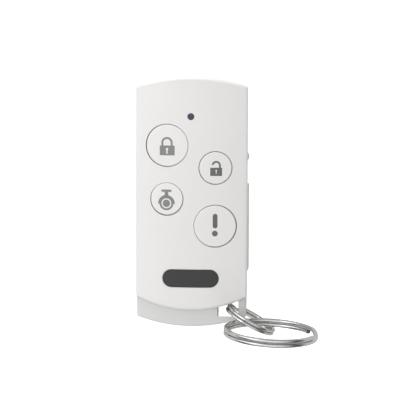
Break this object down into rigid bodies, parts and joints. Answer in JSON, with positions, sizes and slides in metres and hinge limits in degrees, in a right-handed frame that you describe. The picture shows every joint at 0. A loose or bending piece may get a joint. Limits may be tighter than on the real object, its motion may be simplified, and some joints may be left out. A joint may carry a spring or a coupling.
{
  "type": "alarm key fob",
  "caption": "Flat hand-held alarm remote with round lock, unlock, camera and panic buttons, a coin cell drawer in its side, and two split rings in its corner slot.",
  "frame": {"origin": "centre of the flat back, on the surface that the fob lies on", "axes": "+Z out of the button face, +Y towards the lamp end, +X towards the side with the coin cell drawer"},
  "size_m": [0.0593, 0.0832, 0.0379],
  "materials": {
    "white_plastic": "fine satin, moulded white",
    "grey_plastic": "fine satin, moulded light grey",
    "badge_plastic": "smooth dark grey",
    "lamp_plastic": "clear dark blue, looks nearly black",
    "board": "green solder mask",
    "chip_black": "moulded black",
    "chip_brown": "ceramic",
    "can_metal": "pressed can",
    "copper": "tinned copper wire",
    "led_white": "moulded resin",
    "switch_body": "moulded black",
    "plunger": "moulded red brown",
    "contact": "rolled strip",
    "cell_steel": "nickel plated",
    "screw_steel": "zinc plated",
    "ring_nickel": "bright nickel"
  },
  "bodies": {
    "housing": {"front_cover": "white_plastic", "rear_shell": "grey_plastic", "circuit_board": "board", "lock_switch": "switch_body", "unlock_switch": "switch_body", "camera_switch": "switch_body", "panic_switch": "switch_body", "radio_chip": "chip_black", "crystal": "can_metal", "chip_components": "chip_brown", "antenna_wire": "copper", "status_led": "led_white", "led_lens": "lamp_plastic", "badge_plate": "badge_plastic", "negative_contact": "contact", "positive_contact": "contact", "housing_screws": "screw_steel"},
    "lock_key": {"lock_button": "white_plastic", "lock_plunger": "plunger"},
    "unlock_key": {"unlock_button": "white_plastic", "unlock_plunger": "plunger"},
    "camera_key": {"camera_button": "white_plastic", "camera_plunger": "plunger"},
    "panic_key": {"panic_button": "white_plastic", "panic_plunger": "plunger"},
    "drawer": {"battery_drawer": "grey_plastic", "coin_cell": "cell_steel"},
    "link": {"link_ring": "ring_nickel"},
    "keyring": {"key_ring": "ring_nickel"}
  },
  "joints": [
    {"name": "lock_press", "type": "slide", "parent": "housing", "child": "lock_key", "axis": [0, 0, -1], "range_m": [0, 0.0005], "stiffness_N_per_m": 1500, "springref_m": -0.0004},
    {"name": "unlock_press", "type": "slide", "parent": "housing", "child": "unlock_key", "axis": [0, 0, -1], "range_m": [0, 0.0005], "stiffness_N_per_m": 1500, "springref_m": -0.0004},
    {"name": "camera_press", "type": "slide", "parent": "housing", "child": "camera_key", "axis": [0, 0, -1], "range_m": [0, 0.0005], "stiffness_N_per_m": 1500, "springref_m": -0.0004},
    {"name": "panic_press", "type": "slide", "parent": "housing", "child": "panic_key", "axis": [0, 0, -1], "range_m": [0, 0.0005], "stiffness_N_per_m": 1500, "springref_m": -0.0004},
    {"name": "drawer_slide", "type": "slide", "parent": "housing", "child": "drawer", "axis": [1, 0, 0], "range_m": [0, 0.025]},
    {"name": "link_swing", "type": "hinge", "parent": "housing", "child": "link", "pos_m": [0.0123, -0.0349, 0.009], "axis": [0, 0, 1], "range_deg": [-60, 15]},
    {"name": "key_swing", "type": "hinge", "parent": "link", "child": "keyring", "pos_m": [0.0229, -0.0401, 0.0095], "axis": [0, 0, 1], "range_deg": [0, 90]}
  ]
}
